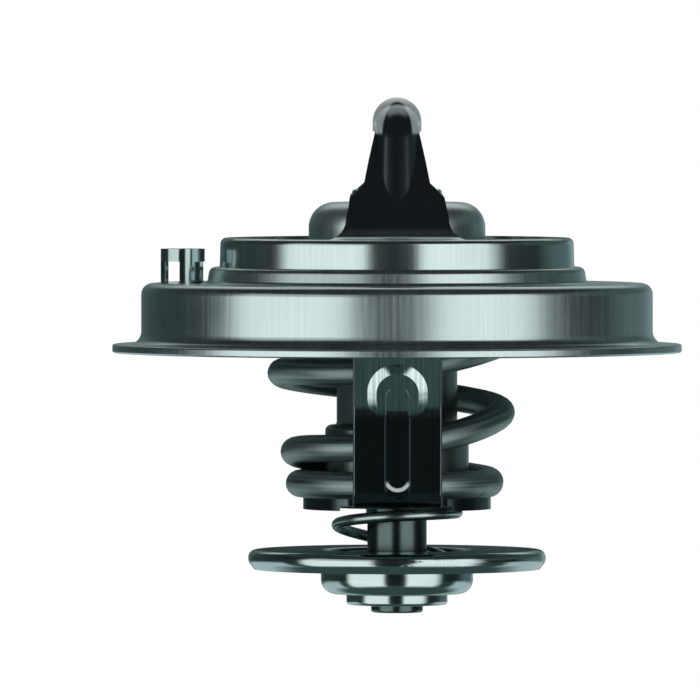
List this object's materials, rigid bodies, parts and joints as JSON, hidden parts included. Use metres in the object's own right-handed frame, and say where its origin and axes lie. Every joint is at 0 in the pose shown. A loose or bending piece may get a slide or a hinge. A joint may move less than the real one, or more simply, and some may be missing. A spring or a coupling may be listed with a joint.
{
  "type": "engine thermostat with bypass disc",
  "caption": "Engine coolant thermostat with a round stepped flange, a bridge over the piston, a conical spring round the wax element, a spring-loaded bypass disc and a ball vent.",
  "frame": {"origin": "centre of the flange's underside", "axes": "+Z along the valve's axis, towards the bridge; the bridge's legs stand at -Y and +Y; the vent stands at -X"},
  "size_m": [0.067, 0.067, 0.0606],
  "materials": {
    "drawn_steel": "bright, drawn",
    "bridge_steel": "bright, pressed",
    "yoke_steel": "bright, pressed",
    "hat_steel": "bright, drawn",
    "disc_steel": "bright, drawn",
    "vent_steel": "bright, turned",
    "collar_steel": "turned",
    "ground_steel": "ground",
    "spring_wire": "drawn wire",
    "element_brass": "dulled",
    "stem_brass": "turned",
    "seal_rubber": "moulded",
    "sleeve_rubber": "moulded",
    "backup_plastic": "plain",
    "wax": "cast"
  },
  "bodies": {
    "housing": {"flange_plate": "drawn_steel", "upper_bridge": "bridge_steel", "lower_yoke": "yoke_steel", "piston": "ground_steel", "main_spring": "spring_wire", "vent_cage": "vent_steel"},
    "element": {"valve_hat": "hat_steel", "valve_seal": "seal_rubber", "retaining_collar": "collar_steel", "element_guide": "element_brass", "backup_ring": "backup_plastic", "rubber_sleeve": "sleeve_rubber", "wax_charge": "wax", "element_case": "element_brass", "guide_stem": "stem_brass", "stop_washer": "collar_steel", "bypass_spring": "spring_wire"},
    "bypass": {"bypass_disc": "disc_steel"},
    "ball": {"vent_ball": "ground_steel"}
  },
  "joints": [
    {"name": "valve_stroke", "type": "slide", "parent": "housing", "child": "element", "axis": [0, 0, -1], "range_m": [0, 0.008], "stiffness_N_per_m": 12000, "springref_m": -0.008, "deforming": ["main_spring"]},
    {"name": "bypass_stroke", "type": "slide", "parent": "element", "child": "bypass", "axis": [0, 0, 1], "range_m": [0, 0.003], "stiffness_N_per_m": 1500, "springref_m": -0.004, "deforming": ["bypass_spring"]},
    {"name": "ball_lift", "type": "slide", "parent": "housing", "child": "ball", "axis": [0, 0, 1], "range_m": [0, 0.0042]}
  ]
}
